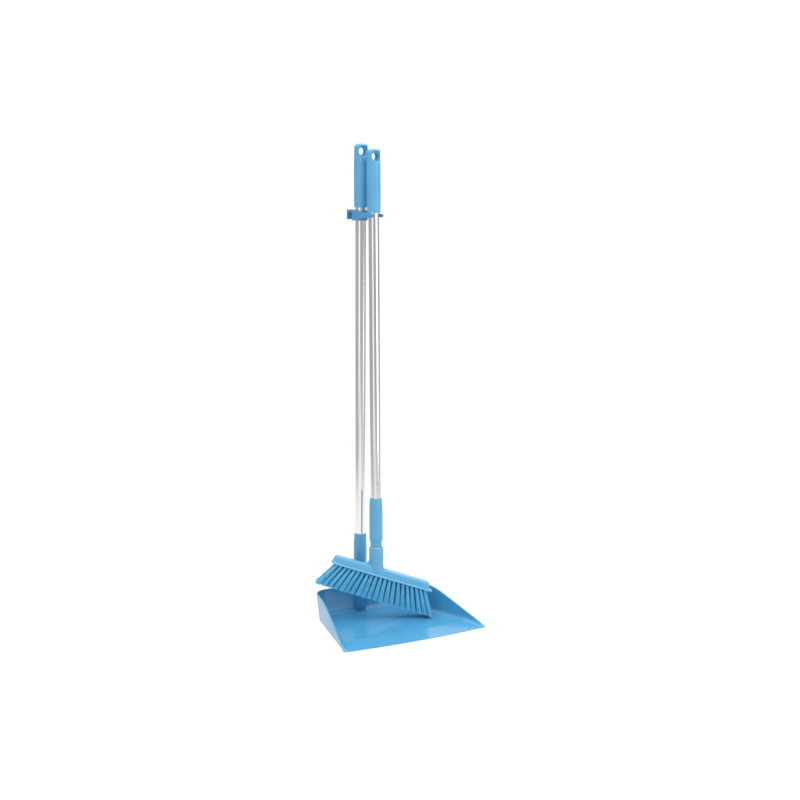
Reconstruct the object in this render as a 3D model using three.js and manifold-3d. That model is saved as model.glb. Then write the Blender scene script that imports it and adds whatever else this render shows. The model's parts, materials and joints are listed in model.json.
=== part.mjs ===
// Upright dust pan with its angled broom clipped to the handle.
// Millimetres, +Z up. The pan's mouth faces -Y and its width runs along X.
// The origin is the middle of the pan's flat underside.

import * as THREE from 'three';
import { mergeVertices } from 'three/addons/utils/BufferGeometryUtils.js';
import Module from 'manifold-3d';

const wasm = await Module();
wasm.setup();

// Shared clearances
const FIT_GAP = 0.3; // between pieces that seat on or in each other
const JAW_CLEARANCE = 0.8; // round the broom tube in the clip's jaw
const CLIP_CLEARANCE = 1; // between the clip's arms and the broom's grip above them
const FLOOR_CLEARANCE = 1; // under the lowest bristle tip
const CUT_PAST = 20; // how far a cutting tool runs past the piece it cuts

// Pan
const PAN_FRONT_WIDTH = 331;
const PAN_DEPTH = 225;
const PAN_SIDE_TAPER = 0.288; // each side comes in by this much per millimetre of depth
const PAN_CORNER_RADIUS = 30;
const PAN_WALL = 2.8;
const PAN_REAR_HEIGHT = 59;
const PAN_WALL_FLARE = 0.113; // walls lean out by this much per millimetre of height
const PAN_EDGE_RADIUS = 3;
const FLOOR_THICKNESS = 4.8;
const FLOOR_FILLET = 10;
const LIP_BOW = 8.6;
const LIP_THICKNESS = 1.2;
const RAMP_DEPTH = 50;
const RAMP_HEIGHT = 5.3;
const RIM_START_DEPTH = 12;
const RIM_START_HEIGHT = 8;
const RIM_SHOULDER_DEPTH = 142;
const RIM_SHOULDER_ROUND = 26;
const RAMP_CREST = 5; // flat top of the ramp
const RAMP_FALL = 45; // from the crest down to the floor behind it
const LIP_NOSE_DEPTH = 15;
const LIP_NOSE_RISE = 1.2;
const BOW_FADE_START = 60; // depth behind which the lip's bow fades out

// Socket boss at the pan's rear wall
const BOSS_WALL = 4.8; // round the spigot's socket
const BOSS_HEIGHT = 69.5;
const BOSS_DOME_HEIGHT = 16;
const BOSS_SINK = 0.4; // how far the dome's foot goes into the floor
const SOCKET_CHAMFER = 1.2;

// Aluminium handle tubes
const TUBE_RADIUS = 11;
const TUBE_WALL = 1;
const PAN_TUBE_EXPOSED = 675;
const BROOM_TUBE_EXPOSED = 580;

// Ferrule at the foot of each tube
const FERRULE_LENGTH = 89.7;
const FERRULE_WALL = 2.4; // round the tube
const FERRULE_TOP_WALL = 0.9;
const FERRULE_BORE_DEPTH = 60;
const FERRULE_FOOT_CHAMFER = 0.7;
const FERRULE_FOOT_HEIGHT = 4;
const FERRULE_STRAIGHT = 61; // full width up to this height
const FERRULE_EASE = 0.3; // the taper starts gently, and ends in a short rim
const FERRULE_EASE_LENGTH = 12.5;
const FERRULE_RIM_LENGTH = 3;
const NECK_LENGTH = 10.5;
const NECK_INSET = 2; // inside the ferrule's outside
const SPIGOT_INSET = 2.1; // inside the neck's outside
const SPIGOT_LENGTH = 30;
const SPIGOT_CHAMFER = 1;
const SPIGOT_END_GAP = 2; // below the spigot in its socket

// Grip at the top of each tube
const GRIP_LENGTH = 127.7;
const GRIP_WALL = 2.4; // round the tube, at the grip's ends
const GRIP_SWELL = 0.6;
const GRIP_FOOT_CHAMFER = 1.2;
const GRIP_FOOT_HEIGHT = 2;
const GRIP_BORE_DEPTH = 92;
const GRIP_ARCH_SPREAD = 0.9; // the arch's radius beyond the grip's at its end
const HANG_HOLE_RADIUS = 7.3;
const HANG_HOLE_BEVEL = 6; // radius gained from the bore out to the face
const HANG_HOLE_WAIST = 5.5; // half of the straight bore's length
const HANG_HOLE_DROP = 15.5; // below the top of the grip

// Clip that joins the two handles
const CLIP_GRIP_SPACE = 6.4; // between the two grips when the broom hangs in the jaw
const CLIP_TURN = THREE.MathUtils.degToRad(18); // jaw direction, from straight ahead towards +X
const CLIP_HEIGHT = 22;
const CLIP_WALL = 2.2;
const CLIP_COLLAR_DROP = 2; // the ring below the arms starts this far down
const CLIP_BACK_WALL = 0.4; // between the pan tube and the hook's gap
const CLIP_FOOT_CHAMFER = 1.5;
const CLIP_ARM_SET_BACK = 2; // where the arms drop to clear the broom's grip
const CLIP_GRIP_GAP = 4.5; // below the grip that stops it
const CLIP_ARM_DROP = 7.4; // arm tips below the collar's top
const CLIP_ARM_HEIGHT = 7.2;
const CLIP_ARM_REACH = 13.5; // past the broom tube's axis
const CLIP_ARM_FLARE = 1.6;
const HOOK_GAP = 12;
const HOOK_DROP = 20;
const HOOK_WALL = 2.2;

// Broom head
const BROOM_FOOT_X = 3;
const BROOM_FOOT_SET_IN = 61.5; // socket mouth in front of the pan's rear wall
const BROOM_YAW = THREE.MathUtils.degToRad(-27);
const BROOM_GRIP_YAW = THREE.MathUtils.degToRad(5);
const BLOCK_TILT = THREE.MathUtils.degToRad(17.6);
const BLOCK_LENGTH = 217.8;
const BLOCK_WIDTH = 34;
const BLOCK_HEIGHT = 16.5;
const BLOCK_CORNER = 9;
const BLOCK_OFFSET = 11.5; // block centre to the right of the handle axis
const HEAD_SOCKET_WALL = 4.7; // round the spigot's socket
const HEAD_SOCKET_LENGTH = 60.2; // from the block's underside to the socket mouth
const HEAD_SOCKET_WEB = 16;
const HEAD_SOCKET_ROOT = 3; // the socket's pointed lower end, above the underside
const HEAD_SOCKET_ROOT_RADIUS = 7.3;
const HEAD_SOCKET_POINT = 25; // height at which it reaches its full width
const WEB_FOOT = 9.9; // height on the block where the side fillets start
const WEB_REACH = 7; // how far the fillets spread past the socket
const WEB_BEND = 6;
const WEB_RISE = 14; // above the block's top
const WEB_INSET = 0.5;

// The block's flanks: share of its height, and how far they lie inside the lip there
const BLOCK_FLANKS = [[0, 0], [0.08, 0.1], [0.22, 2.4], [0.4, 3.8], [0.65, 4.4], [0.88, 5.2], [1, 8]];

// Bristle tufts
const TUFT_COLUMNS = 21;
const TUFT_OFFSET = 10; // middle column's root to the right of the handle axis
const TUFT_ROWS = 3;
const TUFT_END_MARGIN = 14.9; // each end of the block past the outer column, before the offsets
const TUFT_ROW_PITCH = 10;
const TUFT_RADIUS = 2.3;
const TUFT_LENGTH = 49.8;
const TUFT_HOLE_DEPTH = 9;
const TUFT_FAN_LEFT = 27.7; // tip of the left-most column beyond its root
const TUFT_FAN_RIGHT = 27.3;
const TUFT_TIP_GAP = 0.5;
const TUFT_TIP_DEPTH = 6.7;
const TUFT_ROW_SPREAD = 1.15;

// Smoothness
const ROUND_STEPS = 24;
const CORNER_STEPS = 9;
const BOW_STEPS = 20;
const PROFILE_STEPS = 8;
const SWELL_STEPS = 7;
const TUFT_SIDES = 8;
const SETTLE_ROUNDS = 4; // rounds that fit the clip's height to the leaning broom

const COLOURS = {
  shell: 0x4fa3d4,
  grip: 0x66b0dc,
  clip: 0x5699c8,
  block: 0x6bb0dc,
  bristle: 0x4aa4d6,
  tube: 0xbfbdb9,
};

// Sizes that follow from the ones above
const tubeBoreRadius = TUBE_RADIUS + FIT_GAP;
const ferruleRadius = tubeBoreRadius + FERRULE_WALL;
const ferruleTopRadius = tubeBoreRadius + FERRULE_TOP_WALL;
const neckRadius = ferruleRadius - NECK_INSET;
const spigotRadius = neckRadius - SPIGOT_INSET;
const socketBoreRadius = spigotRadius + FIT_GAP;
const socketBoreDepth = SPIGOT_LENGTH + SPIGOT_END_GAP;
const panTopOffset = PAN_WALL_FLARE * PAN_REAR_HEIGHT;
const handleAxisDepth = PAN_DEPTH - 1;
const broomFootDepth = PAN_DEPTH - BROOM_FOOT_SET_IN;
const ferruleFoot = NECK_LENGTH + FIT_GAP; // ferrule shoulder above the socket mouth
const bossRadius = socketBoreRadius + BOSS_WALL;
const headSocketRadius = socketBoreRadius + HEAD_SOCKET_WALL;
const gripEndRadius = tubeBoreRadius + GRIP_WALL;
const gripArchRadius = gripEndRadius + GRIP_ARCH_SPREAD;
const gripRadius = gripEndRadius + GRIP_SWELL;
const clipSpacing = 2 * gripRadius + CLIP_GRIP_SPACE; // between the two tube axes
const tuftPitch = (BLOCK_LENGTH - 2 * TUFT_END_MARGIN) / (TUFT_COLUMNS - 1);
const tubeHidden = FERRULE_BORE_DEPTH + GRIP_BORE_DEPTH - 2 * FIT_GAP;

// ---------- geometry helpers ----------

function signedVolume(position, index) {
  const a = new THREE.Vector3();
  const b = new THREE.Vector3();
  const c = new THREE.Vector3();
  let sum = 0;
  for (let i = 0; i < index.length; i += 3) {
    a.fromBufferAttribute(position, index[i]);
    b.fromBufferAttribute(position, index[i + 1]);
    c.fromBufferAttribute(position, index[i + 2]);
    sum += a.dot(b.cross(c));
  }
  return sum / 6;
}

// A closed three.js geometry as a manifold solid, with its faces turned outwards.
function toSolid(geometry) {
  const bare = geometry.index ? geometry.toNonIndexed() : geometry.clone();
  bare.deleteAttribute('normal');
  bare.deleteAttribute('uv');
  const merged = mergeVertices(bare, 1e-4);
  const corners = Array.from(merged.index.array);
  const kept = [];
  for (let i = 0; i < corners.length; i += 3) {
    const [a, b, c] = corners.slice(i, i + 3);
    if (a !== b && b !== c && c !== a) kept.push(a, b, c);
  }
  if (signedVolume(merged.attributes.position, kept) < 0) kept.reverse();
  return new wasm.Manifold(new wasm.Mesh({
    numProp: 3,
    vertProperties: new Float32Array(merged.attributes.position.array),
    triVerts: new Uint32Array(kept),
  }));
}

function toGeometry(solid) {
  const mesh = solid.getMesh();
  const geometry = new THREE.BufferGeometry();
  geometry.setAttribute('position', new THREE.BufferAttribute(mesh.vertProperties, 3));
  geometry.setIndex(new THREE.BufferAttribute(mesh.triVerts, 1));
  return geometry;
}

function named(name, geometry, colour, roughness, metalness = 0) {
  geometry.computeVertexNormals();
  const material = new THREE.MeshStandardMaterial({ color: colour, roughness, metalness });
  const mesh = new THREE.Mesh(geometry, material);
  mesh.name = name;
  return mesh;
}

// A solid through rings of equally many points, closed by flat caps.
function loft(rings) {
  const count = rings[0].length;
  const points = rings.flat();
  const index = [];
  for (let ring = 0; ring + 1 < rings.length; ring += 1) {
    for (let i = 0; i < count; i += 1) {
      const a = ring * count + i;
      const b = ring * count + ((i + 1) % count);
      index.push(a, b, b + count, a, b + count, a + count);
    }
  }
  const flat = rings[0].map((p) => new THREE.Vector2(p.x, p.y));
  const last = (rings.length - 1) * count;
  for (const [a, b, c] of THREE.ShapeUtils.triangulateShape(flat, [])) {
    index.push(a, c, b, last + a, last + b, last + c);
  }
  const geometry = new THREE.BufferGeometry().setFromPoints(points);
  geometry.setIndex(index);
  return geometry;
}

// A lathe about +Z from [radius, height] pairs.
function turned(profile, steps = ROUND_STEPS) {
  const points = profile.map(([radius, height]) => new THREE.Vector2(radius, height));
  return new THREE.LatheGeometry(points, steps).rotateX(Math.PI / 2);
}

function plainCylinder(radius, low, high) {
  return turned([[0, low], [radius, low], [radius, high], [0, high]]);
}

// A shape drawn in (depth, height) and pushed along X, centred on x = 0.
function acrossX(shape, width, steps = 1) {
  const options = { depth: width, steps, bevelEnabled: false, curveSegments: PROFILE_STEPS };
  const geometry = new THREE.ExtrudeGeometry(shape, options);
  geometry.translate(0, 0, -width / 2);
  const turn = new THREE.Matrix4().set(0, 0, 1, 0, 1, 0, 0, 0, 0, 1, 0, 0, 0, 0, 0, 1);
  return geometry.applyMatrix4(turn);
}

// A shape drawn in (x, z) and pushed along Y, centred on y = 0.
function acrossY(shape, width) {
  const options = { depth: width, bevelEnabled: false, curveSegments: ROUND_STEPS };
  const geometry = new THREE.ExtrudeGeometry(shape, options);
  return geometry.translate(0, 0, -width / 2).rotateX(Math.PI / 2);
}

function shapeOf(points) {
  return new THREE.Shape(points.map(([x, y]) => new THREE.Vector2(x, y)));
}

// ---------- pan ----------

// The pan's plan outline at one height, moved outwards by offset.
function panRing(offset, front, z) {
  const slant = Math.hypot(1, PAN_SIDE_TAPER);
  const halfFront = PAN_FRONT_WIDTH / 2;
  const centreY = PAN_DEPTH - PAN_CORNER_RADIUS;
  const centreX = halfFront - centreY * PAN_SIDE_TAPER - PAN_CORNER_RADIUS * slant;
  const radius = PAN_CORNER_RADIUS + offset;
  const start = Math.atan(PAN_SIDE_TAPER);
  const right = [new THREE.Vector3(halfFront - front * PAN_SIDE_TAPER + offset * slant, front, z)];
  for (let i = 0; i <= CORNER_STEPS; i += 1) {
    const angle = start + ((Math.PI / 2 - start) * i) / CORNER_STEPS;
    right.push(new THREE.Vector3(centreX + radius * Math.cos(angle), centreY + radius * Math.sin(angle), z));
  }
  const left = right.map((p) => new THREE.Vector3(-p.x, p.y, z)).reverse();
  return right.concat(left);
}

function panOuter() {
  const rings = [];
  for (let i = 0; i <= 3; i += 1) {
    const angle = (Math.PI / 6) * i;
    const z = PAN_EDGE_RADIUS * (1 - Math.cos(angle));
    const inset = PAN_EDGE_RADIUS * (1 - Math.sin(angle));
    rings.push(panRing(PAN_WALL_FLARE * z - inset, -CUT_PAST, z));
  }
  rings.push(panRing(panTopOffset, -CUT_PAST, PAN_REAR_HEIGHT));
  return toSolid(loft(rings));
}

function panHollow() {
  const rings = [panRing(-PAN_WALL - FLOOR_FILLET, -2 * CUT_PAST, -CUT_PAST)];
  for (let i = 0; i <= 4; i += 1) {
    const angle = (Math.PI / 8) * i;
    const z = FLOOR_THICKNESS + FLOOR_FILLET * (1 - Math.cos(angle));
    const inset = PAN_WALL + FLOOR_FILLET * (1 - Math.sin(angle));
    rings.push(panRing(PAN_WALL_FLARE * z - inset, -2 * CUT_PAST, z));
  }
  const top = PAN_REAR_HEIGHT + CUT_PAST;
  rings.push(panRing(PAN_WALL_FLARE * top - PAN_WALL, -2 * CUT_PAST, top));
  return toSolid(loft(rings));
}

// Bends a profile pushed along X so that its front follows the bowed lip.
function bowFront(geometry) {
  const position = geometry.attributes.position;
  const halfFront = PAN_FRONT_WIDTH / 2;
  for (let i = 0; i < position.count; i += 1) {
    const share = Math.min(1, Math.abs(position.getX(i)) / halfFront);
    const depth = position.getY(i);
    const fade = THREE.MathUtils.clamp(2 - depth / BOW_FADE_START, 0, 1);
    position.setY(i, depth - LIP_BOW * (1 - share * share) * fade);
  }
  return geometry;
}

function rimProfile() {
  const far = PAN_DEPTH + CUT_PAST;
  const slope = (PAN_REAR_HEIGHT - RIM_START_HEIGHT) / (RIM_SHOULDER_DEPTH - RIM_START_DEPTH);
  const bendDepth = RIM_SHOULDER_DEPTH - RIM_SHOULDER_ROUND;
  const shape = new THREE.Shape();
  shape.moveTo(0, 0);
  shape.lineTo(far, 0);
  shape.lineTo(far, PAN_REAR_HEIGHT);
  shape.lineTo(RIM_SHOULDER_DEPTH + RIM_SHOULDER_ROUND, PAN_REAR_HEIGHT);
  shape.quadraticCurveTo(
    RIM_SHOULDER_DEPTH,
    PAN_REAR_HEIGHT,
    bendDepth,
    PAN_REAR_HEIGHT - slope * RIM_SHOULDER_ROUND,
  );
  shape.lineTo(RIM_START_DEPTH, RIM_START_HEIGHT);
  shape.quadraticCurveTo(RIM_START_DEPTH / 3, RIM_START_HEIGHT / 2, 0, LIP_THICKNESS);
  return shape;
}

function floorProfile() {
  const far = PAN_DEPTH + CUT_PAST;
  const crestEnd = RAMP_DEPTH + RAMP_CREST;
  return shapeOf([
    [0, 0],
    [far, 0],
    [far, FLOOR_THICKNESS],
    [crestEnd + RAMP_FALL, FLOOR_THICKNESS],
    [crestEnd + RAMP_FALL / 3, (FLOOR_THICKNESS + RAMP_HEIGHT) / 2],
    [crestEnd, RAMP_HEIGHT],
    [RAMP_DEPTH, RAMP_HEIGHT],
    [LIP_NOSE_DEPTH, LIP_THICKNESS + LIP_NOSE_RISE],
    [0, LIP_THICKNESS],
  ]);
}

function bossSolid() {
  const profile = [];
  const low = FLOOR_THICKNESS - BOSS_SINK;
  for (let i = 0; i <= 5; i += 1) {
    const angle = (Math.PI / 10) * i;
    profile.push([bossRadius * Math.sin(angle), low + BOSS_DOME_HEIGHT * (1 - Math.cos(angle))]);
  }
  profile.push([bossRadius, BOSS_HEIGHT - SOCKET_CHAMFER]);
  profile.push([bossRadius - SOCKET_CHAMFER, BOSS_HEIGHT]);
  profile.push([0, BOSS_HEIGHT]);
  return toSolid(turned(profile).translate(0, handleAxisDepth, 0));
}

function makePan() {
  const width = PAN_FRONT_WIDTH + 4 * CUT_PAST;
  const outer = panOuter();
  const rim = toSolid(bowFront(acrossX(rimProfile(), width, BOW_STEPS)));
  const floor = toSolid(bowFront(acrossX(floorProfile(), width, BOW_STEPS)));
  const walls = outer.intersect(rim).subtract(panHollow());
  const bore = plainCylinder(socketBoreRadius, BOSS_HEIGHT - socketBoreDepth, BOSS_HEIGHT + CUT_PAST);
  const solid = walls
    .add(outer.intersect(floor))
    .add(bossSolid())
    .subtract(toSolid(bore.translate(0, handleAxisDepth, 0)));
  return named('pan', toGeometry(solid), COLOURS.shell, 0.3);
}

// ---------- handles ----------

// Zero height is the shoulder where the neck starts.
function makeFerrule(name) {
  const mouth = FERRULE_LENGTH - FERRULE_BORE_DEPTH;
  const geometry = turned([
    [0, -NECK_LENGTH - SPIGOT_LENGTH],
    [spigotRadius - SPIGOT_CHAMFER, -NECK_LENGTH - SPIGOT_LENGTH],
    [spigotRadius, -NECK_LENGTH - SPIGOT_LENGTH + SPIGOT_CHAMFER],
    [spigotRadius, -NECK_LENGTH],
    [neckRadius, -NECK_LENGTH],
    [neckRadius, -FERRULE_FOOT_CHAMFER],
    [ferruleRadius - FERRULE_FOOT_CHAMFER, FERRULE_FOOT_CHAMFER],
    [ferruleRadius, FERRULE_FOOT_HEIGHT],
    [ferruleRadius, FERRULE_STRAIGHT],
    [ferruleRadius - FERRULE_EASE, FERRULE_STRAIGHT + FERRULE_EASE_LENGTH],
    [ferruleTopRadius + FERRULE_EASE, FERRULE_LENGTH - FERRULE_RIM_LENGTH],
    [ferruleTopRadius, FERRULE_LENGTH],
    [tubeBoreRadius, FERRULE_LENGTH],
    [tubeBoreRadius, mouth],
    [0, mouth],
  ]);
  return named(name, toGeometry(toSolid(geometry)), COLOURS.grip, 0.34);
}

function makeTube(name, exposed) {
  const length = exposed + tubeHidden;
  const inside = TUBE_RADIUS - TUBE_WALL;
  const geometry = turned([
    [inside, 0],
    [TUBE_RADIUS, 0],
    [TUBE_RADIUS, length],
    [inside, length],
    [inside, 0],
  ]);
  return named(name, toGeometry(toSolid(geometry)), COLOURS.tube, 0.32, 1);
}

function gripBarrel() {
  const profile = [[0, 0], [gripEndRadius - GRIP_FOOT_CHAMFER, 0], [gripEndRadius, GRIP_FOOT_HEIGHT]];
  for (let i = 1; i < SWELL_STEPS; i += 1) {
    const share = i / SWELL_STEPS;
    profile.push([gripEndRadius + GRIP_SWELL * Math.sin(Math.PI * share), GRIP_LENGTH * share]);
  }
  profile.push([gripEndRadius, GRIP_LENGTH]);
  profile.push([0, GRIP_LENGTH]);
  return toSolid(turned(profile));
}

// Front outline of the grip, with its rounded top.
function gripOutline() {
  const half = gripEndRadius + 2 * GRIP_SWELL;
  const cornerAngle = Math.acos(gripEndRadius / gripArchRadius);
  const centre = GRIP_LENGTH - gripArchRadius;
  const shape = new THREE.Shape();
  shape.moveTo(-half, -CUT_PAST);
  shape.lineTo(half, -CUT_PAST);
  shape.lineTo(half, centre + gripArchRadius * Math.sin(cornerAngle));
  shape.absarc(0, centre, gripArchRadius, cornerAngle, Math.PI - cornerAngle, false);
  shape.lineTo(-half, centre + gripArchRadius * Math.sin(cornerAngle));
  return shape;
}

function hangHole() {
  const outer = HANG_HOLE_RADIUS + HANG_HOLE_BEVEL;
  const face = gripEndRadius;
  const geometry = turned([
    [0, -face - CUT_PAST],
    [outer, -face - CUT_PAST],
    [outer, -face],
    [HANG_HOLE_RADIUS, -HANG_HOLE_WAIST],
    [HANG_HOLE_RADIUS, HANG_HOLE_WAIST],
    [outer, face],
    [outer, face + CUT_PAST],
    [0, face + CUT_PAST],
  ]);
  return toSolid(geometry.rotateX(Math.PI / 2).translate(0, 0, GRIP_LENGTH - HANG_HOLE_DROP));
}

function makeGrip(name) {
  const arch = toSolid(acrossY(gripOutline(), 2 * (gripEndRadius + CUT_PAST)));
  const solid = gripBarrel()
    .intersect(arch)
    .subtract(toSolid(plainCylinder(tubeBoreRadius, -CUT_PAST, GRIP_BORE_DEPTH)))
    .subtract(hangHole());
  return named(name, toGeometry(solid), COLOURS.grip, 0.42);
}

// Ferrule, tube and grip on one axis; zero height is the mouth of the socket they screw into.
function makeHandle(prefix, exposed) {
  const handle = new THREE.Group();
  const ferrule = makeFerrule(`${prefix}_ferrule`);
  ferrule.position.z = ferruleFoot;
  const tube = makeTube(`${prefix}_tube`, exposed);
  tube.position.z = ferruleFoot + FERRULE_LENGTH - FERRULE_BORE_DEPTH + FIT_GAP;
  const grip = makeGrip(`${prefix}_grip`);
  grip.position.z = ferruleFoot + FERRULE_LENGTH + exposed;
  handle.add(ferrule, tube, grip);
  return handle;
}

// ---------- clip ----------

// Side view of the clip: x runs from the hook to the jaw, and zero height is its top.
function clipSide() {
  const back = -tubeBoreRadius - CLIP_BACK_WALL;
  const hookBack = back - HOOK_GAP - HOOK_WALL;
  const tip = clipSpacing + CLIP_ARM_REACH;
  const round = CLIP_ARM_HEIGHT / 2;
  const archTop = -HOOK_WALL - HOOK_GAP / 2;
  const armFoot = -CLIP_ARM_DROP - CLIP_ARM_HEIGHT;
  const sweepStart = -TUBE_RADIUS / 3;
  const sweepBend = clipSpacing * 0.3;
  const sweepEnd = clipSpacing * 0.8;
  const shape = new THREE.Shape();
  shape.moveTo(hookBack, 0);
  shape.lineTo(hookBack, -HOOK_DROP);
  shape.lineTo(hookBack + HOOK_WALL, -HOOK_DROP);
  shape.lineTo(hookBack + HOOK_WALL, archTop);
  shape.absarc((hookBack + HOOK_WALL + back) / 2, archTop, HOOK_GAP / 2, Math.PI, 0, true);
  shape.lineTo(back, -CLIP_HEIGHT + CLIP_FOOT_CHAMFER);
  shape.lineTo(back + CLIP_FOOT_CHAMFER, -CLIP_HEIGHT);
  shape.lineTo(sweepStart, -CLIP_HEIGHT);
  shape.quadraticCurveTo(sweepBend, armFoot, sweepEnd, armFoot);
  shape.lineTo(tip - round, armFoot);
  shape.absarc(tip - round, -CLIP_ARM_DROP - round, round, -Math.PI / 2, Math.PI / 2, false);
  shape.lineTo(clipSpacing - gripRadius - CLIP_ARM_SET_BACK, -CLIP_ARM_DROP);
  shape.quadraticCurveTo(TUBE_RADIUS, -CLIP_ARM_DROP / 2, 0, 0);
  return shape;
}

// Half widths of the clip's plan, outside and inside the jaw.
function clipPlan(half, flare, start) {
  const tip = clipSpacing + CLIP_ARM_REACH + FIT_GAP;
  const bend = clipSpacing + TUBE_RADIUS / 2;
  return shapeOf([
    [start, -half],
    [bend, -half],
    [tip, -half - flare],
    [tip, half + flare],
    [bend, half],
    [start, half],
  ]);
}

function upZ(shape, low, high) {
  const options = { depth: high - low, bevelEnabled: false, curveSegments: ROUND_STEPS };
  return new THREE.ExtrudeGeometry(shape, options).translate(0, 0, low);
}

function makeClip() {
  const low = -CLIP_HEIGHT - CUT_PAST;
  const jawHalf = TUBE_RADIUS + JAW_CLEARANCE;
  const outerHalf = jawHalf + CLIP_WALL;
  const side = toSolid(acrossY(clipSide(), 4 * outerHalf));
  const plan = toSolid(upZ(clipPlan(outerHalf, CLIP_ARM_FLARE, -clipSpacing - CUT_PAST), low, CUT_PAST));
  const slot = toSolid(upZ(clipPlan(jawHalf, CLIP_ARM_FLARE, clipSpacing - jawHalf), low, CUT_PAST));
  const collar = toSolid(plainCylinder(outerHalf - FIT_GAP, -CLIP_HEIGHT, -CLIP_COLLAR_DROP));
  const bore = toSolid(plainCylinder(tubeBoreRadius, low, CUT_PAST));
  const solid = side.intersect(plan).add(collar).subtract(slot).subtract(bore);
  return named('handle_clip', toGeometry(solid), COLOURS.clip, 0.4);
}

// ---------- broom head ----------

function blockRing(inset, z) {
  const half = BLOCK_LENGTH / 2 - inset;
  const side = BLOCK_WIDTH / 2 - inset;
  const radius = BLOCK_CORNER - inset * 0.5;
  const points = [];
  for (let corner = 0; corner < 4; corner += 1) {
    const signX = corner === 0 || corner === 3 ? 1 : -1;
    const signY = corner < 2 ? 1 : -1;
    for (let i = 0; i <= 4; i += 1) {
      const angle = (Math.PI / 2) * (corner + i / 4);
      const x = signX * (half - radius) + radius * Math.cos(angle);
      const y = signY * (side - radius) + radius * Math.sin(angle);
      points.push(new THREE.Vector3(x + BLOCK_OFFSET, y, z));
    }
  }
  return points;
}

// A low body with a thin lip round its underside and hollowed flanks.
function blockBody() {
  return toSolid(loft(BLOCK_FLANKS.map(([share, inset]) => blockRing(inset, share * BLOCK_HEIGHT))));
}

function headSocket() {
  const profile = [
    [0, HEAD_SOCKET_ROOT],
    [HEAD_SOCKET_ROOT_RADIUS, HEAD_SOCKET_ROOT],
    [headSocketRadius, HEAD_SOCKET_POINT],
    [headSocketRadius, HEAD_SOCKET_LENGTH - SOCKET_CHAMFER],
    [headSocketRadius - SOCKET_CHAMFER, HEAD_SOCKET_LENGTH],
    [0, HEAD_SOCKET_LENGTH],
  ];
  return toSolid(turned(profile).rotateY(-BLOCK_TILT));
}

// Curved web that carries the socket's sides into the block's top.
function socketWeb() {
  const shape = new THREE.Shape();
  const reach = headSocketRadius + WEB_REACH;
  const rise = BLOCK_HEIGHT + WEB_RISE;
  const bend = WEB_FOOT + WEB_BEND;
  const topHalf = headSocketRadius - WEB_INSET;
  shape.moveTo(-reach, WEB_FOOT);
  shape.lineTo(reach, WEB_FOOT);
  shape.quadraticCurveTo(headSocketRadius, bend, topHalf, rise);
  shape.lineTo(-topHalf, rise);
  shape.quadraticCurveTo(-headSocketRadius, bend, -reach, WEB_FOOT);
  return toSolid(acrossY(shape, HEAD_SOCKET_WEB).rotateY(-BLOCK_TILT / 2));
}

function tuftRootX(column) {
  return TUFT_OFFSET + (column - (TUFT_COLUMNS - 1) / 2) * tuftPitch;
}

function tuftTipX(column) {
  const share = column / (TUFT_COLUMNS - 1);
  return tuftRootX(column) - TUFT_FAN_LEFT + (TUFT_FAN_LEFT + TUFT_FAN_RIGHT) * share;
}

function tuftTipPitch() {
  return (tuftTipX(TUFT_COLUMNS - 1) - tuftTipX(0)) / (TUFT_COLUMNS - 1);
}

function tuftRing(x, y, z, radiusX, radiusY) {
  const ring = [];
  for (let i = 0; i < TUFT_SIDES; i += 1) {
    const angle = (2 * Math.PI * (i + 0.5)) / TUFT_SIDES;
    ring.push(new THREE.Vector3(x + radiusX * Math.cos(angle), y + radiusY * Math.sin(angle), z));
  }
  return ring;
}

// The hole for one tuft, which leans with the tuft that it holds.
function tuftHole(column, row) {
  const lean = (tuftTipX(column) - tuftRootX(column)) / TUFT_LENGTH;
  const y = (row - (TUFT_ROWS - 1) / 2) * TUFT_ROW_PITCH;
  const radius = TUFT_RADIUS + FIT_GAP;
  const top = TUFT_HOLE_DEPTH;
  return toSolid(loft([
    tuftRing(tuftRootX(column) + lean, y, -1, radius, radius),
    tuftRing(tuftRootX(column) - lean * top, y, top, radius, radius),
  ]));
}

function makeBlock() {
  let solid = blockBody().add(socketWeb()).add(headSocket());
  const boreFoot = HEAD_SOCKET_LENGTH - socketBoreDepth;
  const bore = plainCylinder(socketBoreRadius, boreFoot, HEAD_SOCKET_LENGTH + CUT_PAST);
  solid = solid.subtract(toSolid(bore.rotateY(-BLOCK_TILT)));
  for (let column = 0; column < TUFT_COLUMNS; column += 1) {
    for (let row = 0; row < TUFT_ROWS; row += 1) solid = solid.subtract(tuftHole(column, row));
  }
  return named('broom_block', toGeometry(solid), COLOURS.block, 0.36);
}

// One column of tufts across the block. They spread until they meet at their tips.
function makeTuftColumn(column) {
  const rootX = tuftRootX(column);
  const tipX = tuftTipX(column);
  const lean = (tipX - rootX) / TUFT_LENGTH;
  const sidesScale = 1 / Math.cos(Math.PI / TUFT_SIDES);
  const tipRadius = ((tuftTipPitch() - TUFT_TIP_GAP) / 2) * sidesScale;
  const top = TUFT_HOLE_DEPTH - FIT_GAP;
  let solid = null;
  for (let row = 0; row < TUFT_ROWS; row += 1) {
    const rootY = (row - (TUFT_ROWS - 1) / 2) * TUFT_ROW_PITCH;
    const tuft = toSolid(loft([
      tuftRing(tipX, rootY * TUFT_ROW_SPREAD, -TUFT_LENGTH, tipRadius, TUFT_TIP_DEPTH),
      tuftRing(rootX, rootY, 0, TUFT_RADIUS, TUFT_RADIUS),
      tuftRing(rootX - lean * top, rootY, top, TUFT_RADIUS, TUFT_RADIUS),
    ]));
    solid = solid ? solid.add(tuft) : tuft;
  }
  const number = String(column + 1).padStart(2, '0');
  return named(`tuft_column_${number}`, toGeometry(solid), COLOURS.bristle, 0.5);
}

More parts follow.
